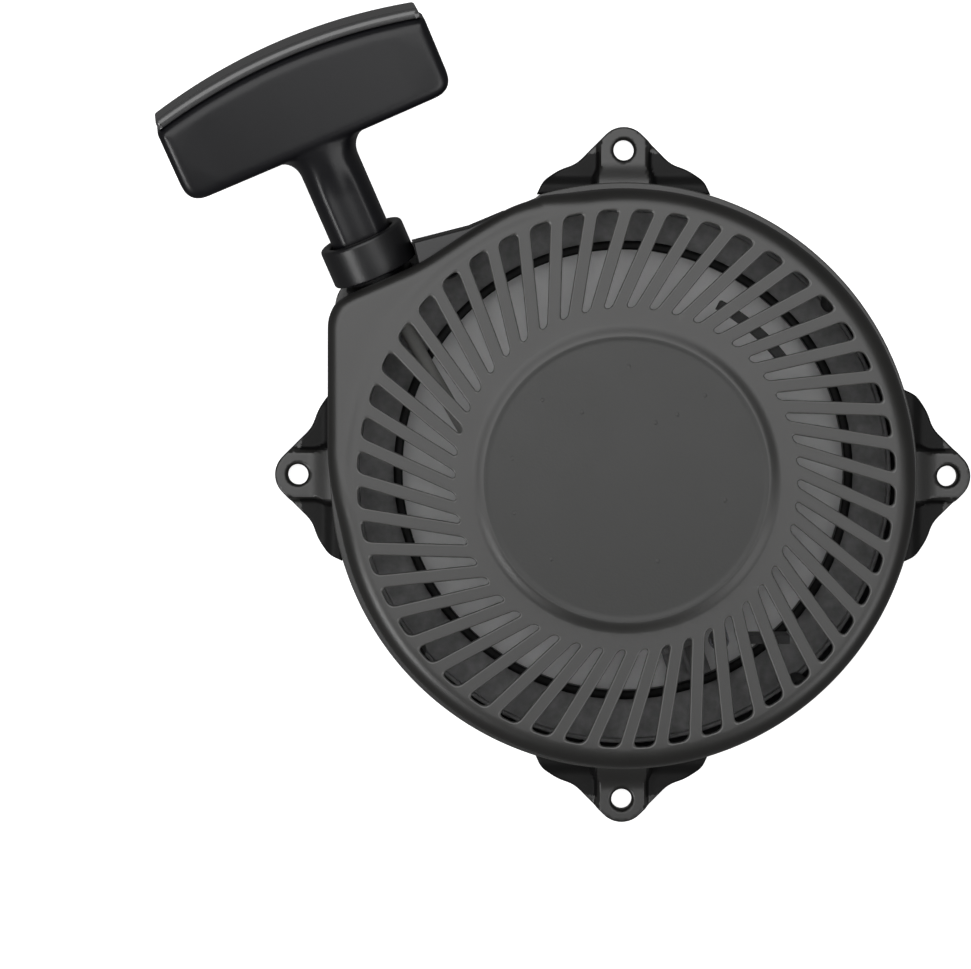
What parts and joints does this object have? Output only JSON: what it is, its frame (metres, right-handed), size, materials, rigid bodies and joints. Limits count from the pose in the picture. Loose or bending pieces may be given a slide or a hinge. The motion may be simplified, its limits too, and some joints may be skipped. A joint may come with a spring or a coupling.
{
  "type": "recoil starter",
  "caption": "Pull starter for a small engine: slotted round housing with mounting ears, rope pulley with pawls and a T handle on a rope.",
  "frame": {"origin": "on the crankshaft axis, in the plane of the ears' rear faces", "axes": "+Z along the crankshaft axis towards the slotted face, +X and +Y through two of the ears"},
  "size_m": [0.2571, 0.2578, 0.0513],
  "materials": {
    "housing_plastic": "fine grained moulded black",
    "ring_plastic": "coarse grained moulded dark grey",
    "handle_plastic": "satin moulded black",
    "pulley_plastic": "moulded dark grey",
    "plate_plastic": "moulded blue grey",
    "spring_steel": "oiled dark spring steel",
    "pawl_steel": "sintered steel",
    "zinc_steel": "bright zinc plated",
    "rope_fibre": "braided, grey"
  },
  "bodies": {
    "housing_body": {"housing": "housing_plastic", "air_guide_ring": "ring_plastic", "rope_guide": "handle_plastic", "spring_cover": "spring_steel", "recoil_spring": "spring_steel", "centre_sleeve": "zinc_steel", "thrust_washer": "zinc_steel", "centre_screw": "zinc_steel", "rope_run": "rope_fibre"},
    "pulley_body": {"pulley": "pulley_plastic", "rope_coil": "rope_fibre", "pulley_knot": "rope_fibre", "pawl_springs": "zinc_steel"},
    "plate_body": {"friction_plate": "plate_plastic"},
    "pawl_a_body": {"pawl_a": "pawl_steel"},
    "pawl_b_body": {"pawl_b": "pawl_steel"},
    "handle_body": {"handle_grip": "handle_plastic", "handle_cap": "handle_plastic", "handle_knot": "rope_fibre", "knot_washer": "zinc_steel", "rope_lead": "rope_fibre"}
  },
  "joints": [
    {"name": "handle_pull", "type": "slide", "parent": "housing_body", "child": "handle_body", "axis": [-0.39, 0.897, 0.2079], "range_m": [0, 0.8], "stiffness_N_per_m": 10, "springref_m": -0.8},
    {"name": "pulley_spin", "type": "hinge", "parent": "housing_body", "child": "pulley_body", "pos_m": [0, 0, 0.02], "axis": [0, 0, -1], "range_deg": [0, 1450], "deforming": ["recoil_spring"]},
    {"name": "plate_lag", "type": "hinge", "parent": "pulley_body", "child": "plate_body", "pos_m": [0, 0, 0.0068], "axis": [0, 0, 1], "range_deg": [0, 18], "stiffness_Nm_per_rad": 0.02, "springref_deg": -17.19},
    {"name": "pawl_a_swing", "type": "hinge", "parent": "pulley_body", "child": "pawl_a_body", "pos_m": [0.00356, 0.02019, 0.0102], "axis": [0, 0, 1], "range_deg": [0, 16.1]},
    {"name": "pawl_b_swing", "type": "hinge", "parent": "pulley_body", "child": "pawl_b_body", "pos_m": [-0.00356, -0.02019, 0.0102], "axis": [0, 0, 1], "range_deg": [0, 16.1]}
  ],
  "couplings": [
    {"joint": "pulley_spin", "follows": "handle_pull", "rad_per_m": 31.6},
    {"joint": "pawl_a_swing", "follows": "plate_lag", "ratio": 0.89},
    {"joint": "pawl_b_swing", "follows": "plate_lag", "ratio": 0.89}
  ]
}
